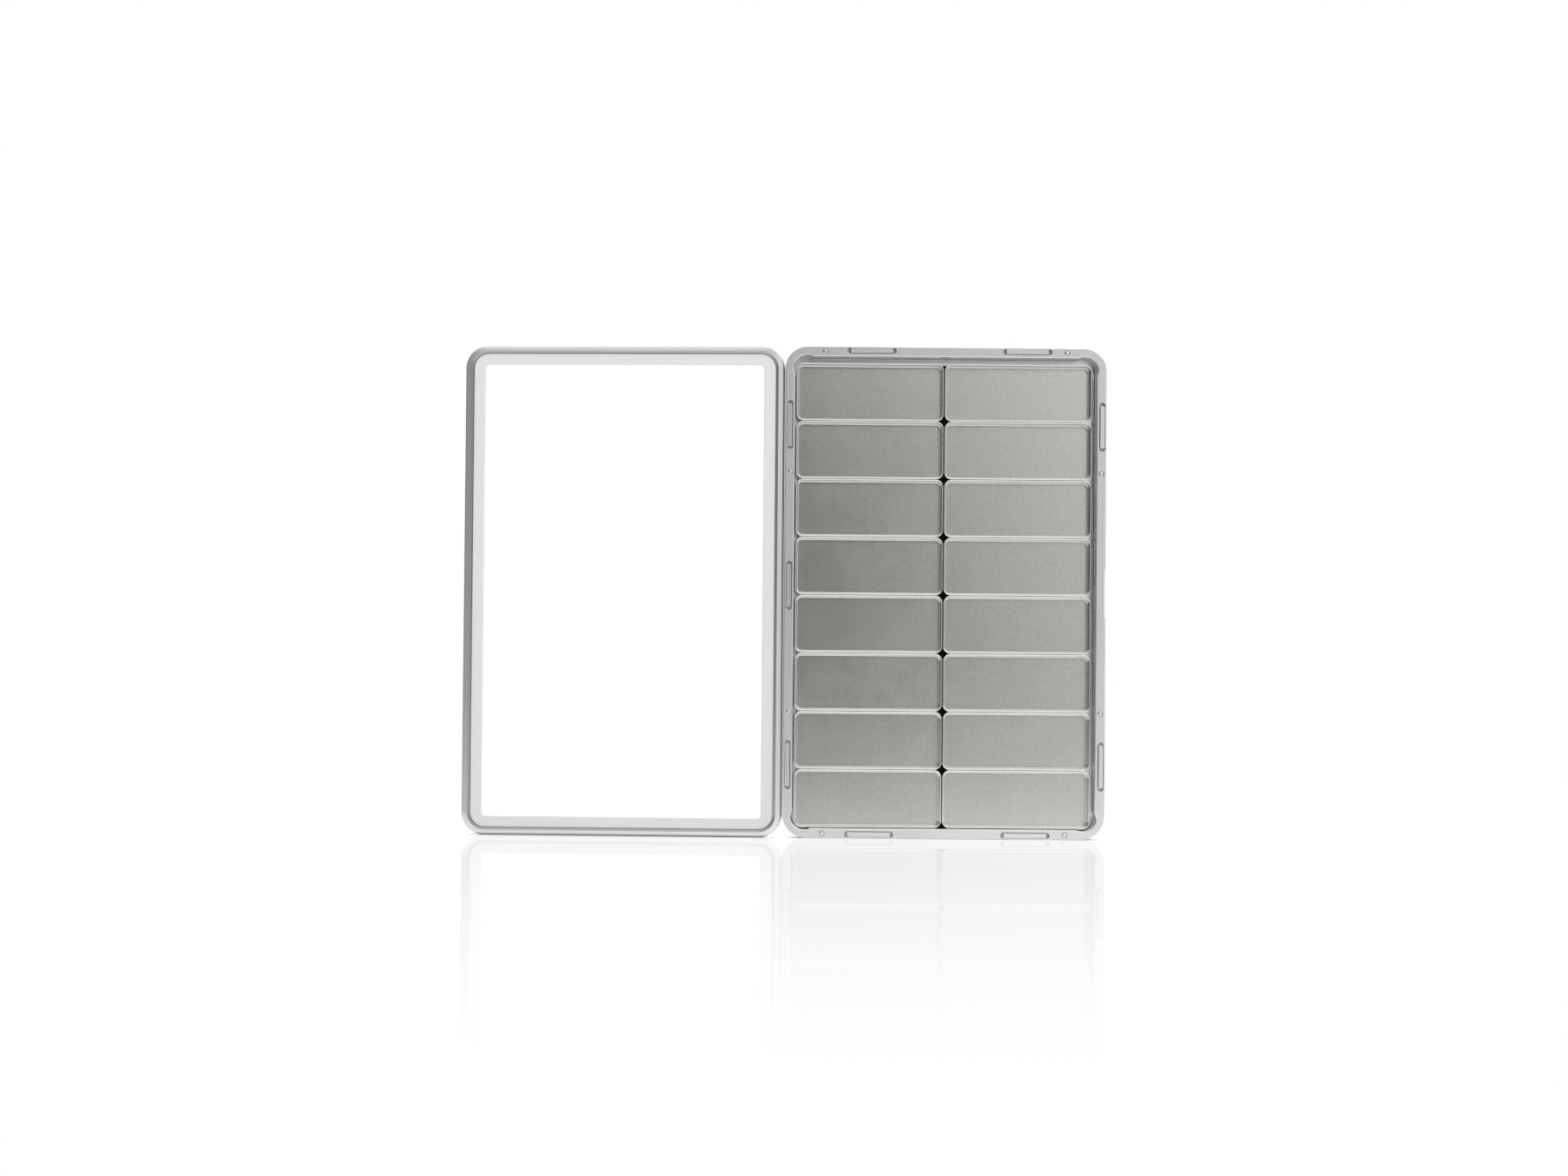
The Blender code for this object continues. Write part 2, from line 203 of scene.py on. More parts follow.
def cut_away(name, blank, cutters):
    """The blank mesh with each (mesh, x, z, turn about Y) cut out of it, all of them in one cut."""
    shape = bmesh.new()
    for mesh, x, z, turn in cutters:
        placed = mesh.copy()
        placed.transform(Matrix.Translation((x, 0, z)) @ Matrix.Rotation(turn, 4, "Y"))
        shape.from_mesh(placed)
    tools = bpy.data.meshes.new("cutters")
    shape.to_mesh(tools)
    shape.free()
    cutter = bpy.data.objects.new("cutters", tools)
    holder = bpy.data.objects.new(name, blank)
    for item in (cutter, holder):
        bpy.context.collection.objects.link(item)
    modifier = holder.modifiers.new("cut", "BOOLEAN")
    modifier.operation = "DIFFERENCE"
    modifier.solver = "EXACT"
    modifier.object = cutter
    depsgraph = bpy.context.evaluated_depsgraph_get()
    mesh = bpy.data.meshes.new_from_object(holder.evaluated_get(depsgraph), depsgraph=depsgraph)
    for item in (cutter, holder):
        bpy.data.objects.remove(item)
    close_and_shade(mesh)
    return mesh


def pocket_outline(outset):
    """The pocket's outline, whose round corner reliefs step past both walls."""
    reach = relief_radius - relief_step
    radius = relief_radius + outset
    crossing = math.degrees(math.acos((reach + outset) / radius))
    points = []
    for quarter, (right, top) in enumerate(((1, 1), (-1, 1), (-1, -1), (1, -1))):
        start = 90 * quarter - crossing
        points += arc(right * (pocket_width / 2 - reach), top * (pocket_height / 2 - reach), radius,
                      start, start + 90 + 2 * crossing, 2 * corner_steps)
    return points


def eased_mouth(outline, ease, front_y):
    """The sections of a cutter's mouth, which leave the edge round; outline(outset) gives its outline."""
    steps = 4
    turns = [math.pi / 2 * step / steps for step in range(steps + 1)]
    return [(outline(ease), front_y - overrun)] + [
        (outline(ease * (1 - math.sin(turn))), front_y + ease * (1 - math.cos(turn))) for turn in turns]


def grain_group():
    """Fine grain, the light and dark specks that it leaves, and broad cloudy patches, all 0 to 1."""
    tree = bpy.data.node_groups.new("metal_grain", "ShaderNodeTree")
    tree.interface.new_socket("Grain Size", in_out="INPUT", socket_type="NodeSocketFloat")
    tree.interface.new_socket("Patch Size", in_out="INPUT", socket_type="NodeSocketFloat")
    for name in ("Grain", "Specks", "Patches"):
        tree.interface.new_socket(name, in_out="OUTPUT", socket_type="NodeSocketFloat")
    given = tree.nodes.new("NodeGroupInput").outputs
    result = tree.nodes.new("NodeGroupOutput")
    place = add_node(tree, "ShaderNodeTexCoord").outputs["Object"]
    for size, output, detail, low, high in (
            ("Grain Size", "Grain", 3.0, 0.0, 1.0), ("Grain Size", "Specks", 1.0, 0.25, 0.75),
            ("Patch Size", "Patches", 4.0, 0.3, 0.7)):
        scale = add_node(tree, "ShaderNodeMath", {0: 1.0, 1: given[size]}, operation="DIVIDE")
        noise = add_node(tree, "ShaderNodeTexNoise", {
            "Vector": place, "Scale": scale.outputs[0], "Detail": detail, "Roughness": 0.6})
        level = add_node(tree, "ShaderNodeMapRange", {
            "Value": noise.outputs[0], "From Min": low, "From Max": high})
        tree.links.new(level.outputs[0], result.inputs[output])
    return tree


metal_grain = grain_group()


def metal_finish(name, colour, dark, roughness, grain_size, grain_depth, patch_size,
                 edge=None, edge_roughness=0.14):
    """A satin metal with specks, soft clouds and a fine bump.

    Polish 1 gives the edge's colour and roughness, on the lid a painted shade; towards -1 painted shade
    darkens it.
    """
    material = bpy.data.materials.new(name)
    material.use_nodes = True
    tree = material.node_tree
    shader = tree.nodes["Principled BSDF"]
    shader.inputs["Metallic"].default_value = 1.0
    grain = add_node(tree, "ShaderNodeGroup", node_tree=metal_grain)
    grain.inputs["Grain Size"].default_value = grain_size
    grain.inputs["Patch Size"].default_value = patch_size
    share = add_node(tree, "ShaderNodeMix", {
        "Factor": patch_share, 2: grain.outputs["Specks"], 3: grain.outputs["Patches"]})
    tint = add_node(tree, "ShaderNodeMix", {
        "Factor": share.outputs[0], 6: (*dark, 1), 7: (*colour, 1)}, data_type="RGBA")
    rough = add_node(tree, "ShaderNodeMapRange", {
        "Value": grain.outputs["Patches"],
        "To Min": roughness - roughness_spread, "To Max": roughness + roughness_spread})
    colour_out, rough_out = tint.outputs[2], rough.outputs[0]
    if edge:
        where = add_node(tree, "ShaderNodeAttribute", attribute_name="polish").outputs["Fac"]
        # Painted shade in the gaps round the magnets: the colour falls to the seat share where polish goes to
        # -1.
        gap_shade_factor = add_node(tree, "ShaderNodeMapRange", {
            "Value": where, "From Min": -1.0, "From Max": 0.0, "To Min": painted_gap_shade, "To Max": 1.0})
        gap_shaded_colour = add_node(tree, "ShaderNodeVectorMath", {0: colour_out}, operation="SCALE")
        tree.links.new(gap_shade_factor.outputs[0], gap_shaded_colour.inputs["Scale"])
        colour_out = add_node(tree, "ShaderNodeMix", {
            "Factor": where, 6: gap_shaded_colour.outputs[0], 7: (*edge, 1)}, data_type="RGBA").outputs[2]
        rough_out = add_node(tree, "ShaderNodeMapRange", {
            "Value": where, "To Min": rough_out, "To Max": edge_roughness}).outputs[0]
    tree.links.new(colour_out, shader.inputs["Base Color"])
    tree.links.new(rough_out, shader.inputs["Roughness"])
    bump = add_node(tree, "ShaderNodeBump", {
        "Height": grain.outputs["Grain"], "Distance": grain_depth, "Strength": 0.6})
    tree.links.new(bump.outputs[0], shader.inputs["Normal"])
    return material


blasted_aluminium = metal_finish(
    "blasted_aluminium", colour=(0.91, 0.91, 0.91), dark=(0.67, 0.67, 0.67), roughness=0.34,
    grain_size=0.0003, grain_depth=0.000003, patch_size=0.009, edge=(0.95, 0.95, 0.95))

pocket_width = tray_width - 2 * side_wall
pocket_height = tray_height - 2 * end_wall
rim_y = tray_low.y
tray_middle = tray_height / 2
tray_place = Matrix.Translation((0, tray_high.y, tray_middle))
blank = [(-tray_back_fillet, 0)] + arc(-tray_back_fillet, tray_back_fillet, tray_back_fillet, -90, 0)[1:]
blank += arc(-tray_ease, tray_depth - tray_ease, tray_ease, 0, 90, steps=5)
tray_blank = swept_mesh(
    "tray_blank", blank, tray_width, tray_height, tray_corner, blasted_aluminium, tray_place)

pocket_floor_y = tray_high.y - tray_floor
pocket_cutter = loft("pocket", eased_mouth(pocket_outline, pocket_ease, rim_y) + [
    (pocket_outline(0), pocket_floor_y - pocket_foot),
    (pocket_outline(-foot_middle), pocket_floor_y - foot_middle),
    (pocket_outline(-pocket_foot), pocket_floor_y)])
half_notch = notch_length / 2
notch_floor = tray_width / 2 - notch_inset
notch_outline = [(tray_width / 2 + overrun, -half_notch), (tray_width / 2, -half_notch)]
notch_outline += [(notch_floor, -half_notch + notch_ramp), (notch_floor, half_notch - notch_ramp)]
notch_outline += [(tray_width / 2, half_notch), (tray_width / 2 + overrun, half_notch)]
notch_cutter = loft("notch", [(notch_outline, rim_y - overrun), (notch_outline, rim_y + notch_depth)])
tray_cutters = [(pocket_cutter, 0, tray_middle, 0), (notch_cutter, 0, tray_middle, 0)]


# Rim magnets. Nine sintered bar magnets with ground, squared ends, and eight small discs, glued into slots
# and holes that were milled and drilled in the rim. The slots have round ends, so each bar leaves a small
# hollow at its ends, and the bars sit a little nearer to the outer edge than their slots. The walls and
# floors of the seats round the magnets carry a painted shade.
bar_length = 0.0121
bar_width = 0.00135
bar_side_room = 0.000155
bar_end_room = 0.00012
disc_diameter = 0.0013
disc_side_room = 0.00015
magnet_depth = 0.0012
seat_below = 0.0003
magnet_recess = 0.00005
seat_ease = 0.00006
bar_offset = 0.00009
disc_snugness = 0.0002

slot_width = bar_width + 2 * bar_side_room
slot_length = bar_length + 2 * bar_end_room + slot_width
hole_diameter = disc_diameter + 2 * disc_side_room
seat_depth = magnet_recess + magnet_depth + seat_below
seat_floor_y = rim_y + seat_depth


def slot_outline(outset):
    """A round-ended slot along X."""
    straight = (slot_length - slot_width) / 2
    radius = slot_width / 2 + outset
    return arc(straight, 0, radius, -90, 90, steps=10) + arc(-straight, 0, radius, 90, 270, steps=10)


def hole_outline(outset):
    """A drilled hole's circle."""
    sides = 24
    return arc(0, 0, hole_diameter / 2 + outset, 0, 360 - 360 / sides, sides - 1)


def mark_milled(mesh):
    """Marks the tray's edges as bright (1), its seats with painted shade (-1) and its pocket as left by the
    mill.
    """
    upright, level = 0.1, 0.99
    near = 0.00001
    if "polish" in mesh.attributes:
        mesh.attributes.remove(mesh.attributes["polish"])
    polish = mesh.attributes.new("polish", "FLOAT", "FACE")
    for face in mesh.polygons:
        x, y, z = face.center
        lean = abs(face.normal.y)
        below_rim = y - rim_y
        outside_pocket = max(abs(x) - pocket_width / 2, abs(z - tray_middle) - pocket_height / 2)
        edge = upright < lean < level and y < 0
        seat_wall = lean < upright and seat_depth / 4 < below_rim < seat_depth * 3 / 4
        seat_floor = abs(below_rim - seat_depth) < near
        in_rim = pocket_ease < outside_pocket < side_wall - seat_ease
        in_pocket = outside_pocket < 2 * relief_step and pocket_ease < below_rim and y < pocket_floor_y + near
        # The seats' walls and floors round the magnets get -1, a painted shade in the gaps.
        seat = in_rim and (seat_wall or seat_floor)
        polish.data[face.index].value = 1.0 if edge else -1.0 if seat else pocket_polish if in_pocket else 0.0


def node_middle(node):
    """The x and z of the middle of a CAD node."""
    low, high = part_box(node)
    return (low[0] + high[0]) / 2, (low[2] + high[2]) / 2


bar_nodes = [f"bar_magnet_{number}" for number in range(1, 10)]
disc_nodes = [f"disc_magnet_{number}" for number in range(1, 9)]
slot_cutter = loft("slot", eased_mouth(slot_outline, seat_ease, rim_y) + [(slot_outline(0), seat_floor_y)])
hole_cutter = loft("hole", eased_mouth(hole_outline, seat_ease, rim_y) + [(hole_outline(0), seat_floor_y)])
bar_places = []
for node in bar_nodes:
    x, z = node_middle(node)
    upright = abs(x) > tray_width / 2 - side_wall
    tray_cutters.append((slot_cutter, x, z, math.pi / 2 if upright else 0.0))
    if upright:
        bar_places.append((x + math.copysign(bar_offset, x), z, math.pi / 2))
    else:
        bar_places.append((x, z + math.copysign(bar_offset, z - tray_middle), 0.0))
tray_cutters += [(hole_cutter, *node_middle(node), 0) for node in disc_nodes]
tray_mesh = cut_away("tray_body", tray_blank, tray_cutters)
mark_milled(tray_mesh)
tray_body = add_piece("tray_body", tray_mesh)
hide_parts("base_tray")
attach(tray_body, "base")


def magnet_tree():
    """Sets one magnet at each point, turned about Y as the point says."""
    tree = bpy.data.node_groups.new("rim_magnets", "GeometryNodeTree")
    sockets = tree.interface
    sockets.new_socket("Places", in_out="INPUT", socket_type="NodeSocketGeometry")
    sockets.new_socket("Magnet", in_out="INPUT", socket_type="NodeSocketObject")
    sockets.new_socket("Finish", in_out="INPUT", socket_type="NodeSocketMaterial")
    sockets.new_socket("Magnets", in_out="OUTPUT", socket_type="NodeSocketGeometry")
    given = tree.nodes.new("NodeGroupInput").outputs
    magnet = add_node(tree, "GeometryNodeObjectInfo", {"Object": given["Magnet"]})
    turn = add_node(tree, "GeometryNodeInputNamedAttribute", {"Name": "turn"}, data_type="FLOAT")
    rotation = add_node(tree, "ShaderNodeCombineXYZ", {"Y": turn.outputs[0]})
    copies = add_node(tree, "GeometryNodeInstanceOnPoints", {
        "Points": given["Places"], "Instance": magnet.outputs["Geometry"], "Rotation": rotation.outputs[0]})
    real = add_node(tree, "GeometryNodeRealizeInstances", {0: copies.outputs[0]})
    finished = add_node(tree, "GeometryNodeSetMaterial", {0: real.outputs[0], "Material": given["Finish"]})
    tree.links.new(finished.outputs[0], tree.nodes.new("NodeGroupOutput").inputs[0])
    return tree


magnet_setter = magnet_tree()


def set_magnets(name, shape, places, finish):
    """One piece of all the magnets, at the (x, z, turn) places."""
    magnet = bpy.data.objects.new(name + "_one", shape)
    bpy.context.collection.objects.link(magnet)
    points = bpy.data.meshes.new(name + "_places")
    points.from_pydata([(x, 0, z) for x, z, turn in places], [], [])
    turns = points.attributes.new("turn", "FLOAT", "POINT")
    turns.data.foreach_set("value", [turn for x, z, turn in places])
    mesh = run_tree(name, points, magnet_setter, {"Magnet": magnet, "Finish": finish})
    close_and_shade(mesh)
    bpy.data.objects.remove(magnet)
    piece = add_piece(name, mesh)
    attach(piece, "base")
    return piece


nickel_plate = metal_finish(
    "nickel_plate", colour=(0.86, 0.86, 0.84), dark=(0.74, 0.74, 0.72), roughness=0.30,
    grain_size=0.00025, grain_depth=0.000002, patch_size=0.003,
    edge=(0.96, 0.96, 0.94), edge_roughness=0.10)
bar_corner = 0.00012
bar_ease = 0.0001
disc_flat = 0.00001
disc_ease = 0.0003
magnet_place = Matrix.Translation((0, rim_y + magnet_recess + magnet_depth, 0))


def finished_as(points, polish):
    """The points of a section with its polish value there, which on the lid's inner wall and bevel stands for
    painted shade.
    """
    return [(x, y, polish) for x, y in points]


def magnet_shape(name, length, width, corner, ease):
    """One magnet, with eased edges, at the middle of the tray's edge."""
    front_edge = arc(-ease, magnet_depth - ease, ease, 0, 90, steps=4)
    section = finished_as([(-ease, 0), (0, ease)], 0) + finished_as(front_edge[:-1], 1)
    section += finished_as(front_edge[-1:], 0)
    return swept_mesh(name, section, length, width, corner, nickel_plate, magnet_place)


one_bar = magnet_shape("one_bar", bar_length, bar_width, bar_corner, bar_ease)
bars = set_magnets("rim_bar_magnets", one_bar, bar_places, nickel_plate)
disc_size = disc_diameter + disc_snugness
one_disc = magnet_shape("one_disc", disc_size, disc_size, disc_size / 2 - disc_flat, disc_ease)
disc_places = [(*node_middle(node), 0.0) for node in disc_nodes]
discs = set_magnets("rim_disc_magnets", one_disc, disc_places, nickel_plate)
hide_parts(*bar_nodes)
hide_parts(*disc_nodes)


# Magnetic sheet. Flexible ferrite-filled rubber, cut with a knife a little narrower than the block of pans
# and stuck to the pocket's floor. It shows only as black diamonds between the corners of the pans.
sheet_corner = 0.002
sheet_ease = 0.00012
sheet_margin = 0.002


def rubber_finish():
    """Matt black rubber with a fine calendered texture and patches of pale dust."""
    material = bpy.data.materials.new("ferrite_rubber")
    material.use_nodes = True
    tree = material.node_tree
    shader = tree.nodes["Principled BSDF"]
    shader.inputs["Specular IOR Level"].default_value = 0.3
    grain = add_node(tree, "ShaderNodeGroup", node_tree=metal_grain)
    grain.inputs["Grain Size"].default_value = 0.0003
    grain.inputs["Patch Size"].default_value = 0.006
    dust = add_node(tree, "ShaderNodeMapRange", {
        "Value": grain.outputs["Patches"], "From Min": 0.4, "To Max": 0.35})
    tint = add_node(tree, "ShaderNodeMix", {
        "Factor": dust.outputs[0], 6: (0.022, 0.021, 0.020, 1), 7: (0.07, 0.068, 0.062, 1)}, data_type="RGBA")
    rough = add_node(tree, "ShaderNodeMapRange", {
        "Value": grain.outputs["Grain"], "To Min": 0.6, "To Max": 0.85})
    bump = add_node(tree, "ShaderNodeBump", {"Height": grain.outputs["Grain"], "Distance": 0.00003})
    tree.links.new(tint.outputs[2], shader.inputs["Base Color"])
    tree.links.new(rough.outputs[0], shader.inputs["Roughness"])
    tree.links.new(bump.outputs[0], shader.inputs["Normal"])
    return material


sheet_low, sheet_high = (Vector(corner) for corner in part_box("magnet_sheet"))
sheet_size = sheet_high - sheet_low
sheet_size.x -= 2 * sheet_margin
sheet_middle = (sheet_low + sheet_high) / 2
sheet_section = [(-sheet_ease, 0), (0, sheet_ease)]
sheet_section += [(0, sheet_size.y - sheet_ease), (-sheet_ease, sheet_size.y)]
sheet_place = Matrix.Translation((sheet_middle.x, sheet_high.y, sheet_middle.z))
sheet = add_piece("magnetic_sheet", swept_mesh(
    "magnetic_sheet", sheet_section, sheet_size.x, sheet_size.z, sheet_corner, rubber_finish(), sheet_place))
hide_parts("magnet_sheet")
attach(sheet, "base")


# Pans. Sixteen open pans drawn from thin steel sheet: sides with a little draft, a round foot inside and
# out, and a round rim that was polished after drawing and so is brighter than the tumbled inside. Each is
# loose and is held by the magnetic sheet under it.
pan_corner = 0.0020
pan_wall = 0.0004
pan_floor = 0.00045
pan_draft = 0.00015
pan_fillet = 0.00025
pan_rim_round = 0.00019
pan_wider = 0.0002
pan_longer = 0.00005
inside_foot_polish = 0.7

pan_steel = metal_finish(
    "tumbled_steel", colour=(0.735, 0.725, 0.69), dark=(0.525, 0.515, 0.485), roughness=0.24,
    grain_size=0.00026, grain_depth=0.000002, patch_size=0.012, edge=(0.88, 0.87, 0.85))
pan_low, pan_high = (Vector(corner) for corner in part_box("pan_left_1"))
pan_length, pan_depth, pan_width = pan_high - pan_low
pan_width += pan_wider
pan_length += pan_longer
foot = pan_wall + pan_draft
inside_foot = arc(-foot - pan_fillet, pan_floor + pan_fillet, pan_fillet, -90, 0)
rim_inside = arc(-pan_wall + pan_rim_round, pan_depth - pan_rim_round, pan_rim_round, 180, 90)
rim_outside = arc(-pan_rim_round, pan_depth - pan_rim_round, pan_rim_round, 90, 0)
outside_foot = arc(-pan_draft - pan_fillet, pan_fillet, pan_fillet, 0, -90)
pan_section = finished_as(inside_foot[:1], 0) + finished_as(inside_foot[1:], inside_foot_polish)
pan_section += finished_as(rim_inside + rim_outside, 1) + finished_as(outside_foot, 0)
pan_pattern = swept_mesh(
    "pan_pattern", pan_section, pan_length, pan_width, pan_corner, pan_steel, Matrix.Identity(4))
for side in ("left", "right"):
    for row in range(1, 9):
        node = f"pan_{side}_{row}"
        x, z = node_middle(node)
        pressing = pan_pattern.copy()
        pressing.transform(Matrix.Translation((x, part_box(node)[1][1], z)))
        pan = add_piece(f"{node}_pressing", pressing)
        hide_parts(node)
        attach(pan, node)


# Lid. Pressed steel, so that the rim magnets grip it: its crest falls outwards to a round edge, and a
# narrow bevel inside runs down to the mixing tray. It has no hinge: it lifts off and stands by the base.
lid_corner = 0.00645
lid_edge_radius = 0.0008
lid_crest_tilt = math.radians(24)
crest_corner = 0.00002
lid_wall = 0.0021
lid_side_extra = 0.00025
lid_bevel_width = 0.0007
lid_bevel_drop = 0.0004
lid_floor = 0.0008
lid_depth = 0.0044
lid_back_fillet = 0.0015
lid_gap = 0.00004
closed_clearance = 0.0003

carry = next(joint for joint in frame["joints"] if joint["name"] == "lid_carry")
lid_turn = math.pi + math.radians(carry["range_deg"][0])
lid_frame = Matrix.Translation(carry["pos_m"]) @ Matrix.Rotation(lid_turn, 4, "Z")
lid_place = lid_frame @ Matrix.Translation(
    (-(lid_gap + tray_width) / 2, closed_clearance / 2 + lid_depth, tray_middle))
# Painted shade: the edge colour, darker and rougher than the steel, goes on the inner wall and bevel, where
# the groove beside the mixing tray lies in shade.
lid_steel = metal_finish(
    "satin_steel", colour=(0.80, 0.80, 0.795), dark=(0.72, 0.72, 0.715), roughness=0.30,
    grain_size=0.00025, grain_depth=0.000003, patch_size=0.010,
    edge=(0.50, 0.50, 0.495), edge_roughness=0.36)
crest = lid_wall - lid_bevel_width
crest_run = crest - lid_edge_radius * (1 - math.sin(lid_crest_tilt))
crest_foot = lid_depth - crest_run * math.tan(lid_crest_tilt)
widened_beyond = 0.9 * crest
# The inner wall and bevel take polish 1, so they carry the lid's painted shade.
lid_section = finished_as([(-lid_wall, lid_floor), (-lid_wall, lid_depth - lid_bevel_drop)], 1)
lid_section += finished_as([(-crest - crest_corner, lid_depth - crest_corner / 2)], 1)
lid_section += finished_as([(-crest, lid_depth)], 0)
lid_section += arc(-lid_edge_radius, crest_foot - lid_edge_radius * math.cos(lid_crest_tilt), lid_edge_radius,
                   90 - math.degrees(lid_crest_tilt), 0, steps=8)
lid_section += arc(-lid_back_fillet, lid_back_fillet, lid_back_fillet, 0, -90, steps=8)


def widen_sides(mesh, width, length, corner, beyond, extra):
    """Moves all that lies further in than beyond towards the middle, so that the long sides are wider."""
    for point in mesh.vertices:
        across = abs(point.co.x) - width / 2 + corner
        along = abs(point.co.z) - length / 2 + corner
        in_corner = across > 0 and along > 0
        inset = corner - (math.hypot(across, along) if in_corner else max(across, along))
        if inset > beyond:
            point.co.x -= math.copysign(extra, point.co.x)


lid_mesh = swept_mesh(
    "lid_pressing", lid_section, tray_width, tray_height, lid_corner, lid_steel, Matrix.Identity(4))
widen_sides(lid_mesh, tray_width, tray_height, lid_corner, widened_beyond, lid_side_extra)
lid_mesh.transform(lid_place)
lid_pressing = add_piece("lid_pressing", lid_mesh)
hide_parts("lid_shell")
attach(lid_pressing, "lid")


# Mixing tray. One white moulding, glued into the lid: a satin border with an eased outer edge, and a
# shallow polished well on which colour is mixed.
insert_room = 0.00003
insert_recess = 0.0007
insert_edge = 0.0003
insert_bond = 0.0003
well_depth = 0.0008
well_border = 0.00305
well_side_extra = 0.0001
well_slope = 0.0004
well_round = 0.0002


def moulding_finish(name):
    """White plastic: the border is a light satin grey, and the well inside it is polished white."""
    material = bpy.data.materials.new(name)
    material.use_nodes = True
    tree = material.node_tree
    shader = tree.nodes["Principled BSDF"]
    shader.inputs["Specular IOR Level"].default_value = 0.5
    grain = add_node(tree, "ShaderNodeGroup", node_tree=metal_grain)
    grain.inputs["Grain Size"].default_value = 0.0004
    grain.inputs["Patch Size"].default_value = 0.02
    well = add_node(tree, "ShaderNodeAttribute", attribute_name="polish")
    clouded = add_node(tree, "ShaderNodeMapRange", {
        "Value": grain.outputs["Patches"], "To Min": 0.98, "To Max": 1.0})
    tint = add_node(tree, "ShaderNodeMix", {
        "Factor": well.outputs["Fac"], 6: (0.51, 0.51, 0.50, 1), 7: (0.93, 0.93, 0.925, 1)}, data_type="RGBA")
    shade = add_node(tree, "ShaderNodeVectorMath", {0: tint.outputs[2]}, operation="SCALE")
    tree.links.new(clouded.outputs[0], shade.inputs["Scale"])
    rough = add_node(tree, "ShaderNodeMapRange", {
        "Value": well.outputs["Fac"], "To Min": 0.5, "To Max": 0.28})
    bump = add_node(tree, "ShaderNodeBump", {"Height": grain.outputs["Grain"], "Distance": 0.000008})
    tree.links.new(shade.outputs[0], shader.inputs["Base Color"])
    tree.links.new(rough.outputs[0], shader.inputs["Roughness"])
    tree.links.new(bump.outputs[0], shader.inputs["Normal"])
    return material


insert_inset = lid_wall + insert_room
insert_back = lid_floor + insert_bond
insert_height = lid_depth - insert_recess - insert_back
insert_width = tray_width - 2 * (insert_inset + lid_side_extra)
insert_length = tray_height - 2 * insert_inset
insert_place = lid_place @ Matrix.Translation((0, -insert_back, 0))
slope_foot = -well_border - well_slope
well_floor = insert_height - well_depth
well_foot = arc(slope_foot - well_round, well_floor + well_round, well_round, -90, -30, steps=4)
well_brow = arc(-well_border, insert_height - well_round, well_round, 150, 90, steps=4)
insert_rim = arc(-insert_edge, insert_height - insert_edge, insert_edge, 90, 0, steps=5)
insert_section = finished_as(well_foot, 1) + finished_as(well_brow + insert_rim + [(0, 0)], 0)
insert_mesh = swept_mesh(
    "mixing_insert", insert_section, insert_width, insert_length, lid_corner - insert_inset,
    moulding_finish("white_moulding"), Matrix.Identity(4))
widen_sides(
    insert_mesh, insert_width, insert_length, lid_corner - insert_inset, well_border / 2, well_side_extra)
insert_mesh.transform(insert_place)
mixing_insert = add_piece("mixing_insert", insert_mesh)
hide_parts("mixing_tray")
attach(mixing_insert, "lid")


# Floor. A plain white glossy sweep that isn't part of the tin: it carries a faint mirror image of the
# tin, which dies away with distance, and its far part is out of the light and dims what metal sees.
# Close to the tin the floor's emission carries a painted contact shadow, made by ambient occlusion, both to
# the camera and to the metal.
floor_reach = 4.0
mirror_start = 0.20
mirror_end = 0.67
mirror_strength = 0.23
contact_shadow_reach = 0.002
shadow_reach = 0.001
lit_floor = 1.1
dim_floor = 0.3
dim_distance = 0.9


def floor_finish():
    """White paper to the camera, with a painted contact shadow and the tin's mirror image in it, and a dimmer
    floor with a painted shadow to the metal.
    """
    material = bpy.data.materials.new("white_sweep")
    material.use_nodes = True
    tree = material.node_tree
    tree.nodes.clear()
    rays = tree.nodes.new("ShaderNodeLightPath")
    place = add_node(tree, "ShaderNodeTexCoord").outputs["Object"]
    distance = add_node(tree, "ShaderNodeVectorMath", {0: place}, operation="LENGTH")
    # Painted contact shadow: the white that the camera sees is an emission darkened by ambient occlusion near
    # the tin.
    contact_shadow = add_node(tree, "ShaderNodeAmbientOcclusion", {"Distance": contact_shadow_reach}, samples=8)
    white = add_node(tree, "ShaderNodeEmission", {"Color": contact_shadow.outputs["Color"], "Strength": 1.0})
    gloss = add_node(tree, "ShaderNodeBsdfGlossy", {"Color": (1, 1, 1, 1), "Roughness": 0.02})
    fade = add_node(tree, "ShaderNodeMapRange", {
        "Value": distance.outputs["Value"], "From Min": mirror_start, "From Max": mirror_end,
        "To Min": mirror_strength, "To Max": 0.0})
    seen = add_node(tree, "ShaderNodeMixShader", {
        0: fade.outputs[0], 1: white.outputs[0], 2: gloss.outputs[0]})
    matt = add_node(tree, "ShaderNodeBsdfDiffuse", {"Color": (0.92, 0.92, 0.92, 1)})
    direct = add_node(tree, "ShaderNodeMixShader", {
        0: rays.outputs["Is Camera Ray"], 1: matt.outputs[0], 2: seen.outputs[0]})
    dimmed = add_node(tree, "ShaderNodeMapRange", {
        "Value": distance.outputs["Value"], "From Max": dim_distance,
        "To Min": lit_floor, "To Max": dim_floor})
    # Painted shadow in what metal sees: the floor's emission is darkened by ambient occlusion under the tin.
    shadow = add_node(tree, "ShaderNodeAmbientOcclusion", {"Distance": shadow_reach}, samples=8)
    shaded = add_node(tree, "ShaderNodeMath", {
        0: dimmed.outputs[0], 1: shadow.outputs["AO"]}, operation="MULTIPLY")
    mirrored = add_node(tree, "ShaderNodeEmission", {"Strength": shaded.outputs[0]})
    mixed = add_node(tree, "ShaderNodeMixShader", {
        0: rays.outputs["Is Glossy Ray"], 1: direct.outputs[0], 2: mirrored.outputs[0]})
    tree.links.new(mixed.outputs[0], tree.nodes.new("ShaderNodeOutputMaterial").inputs["Surface"])
    return material


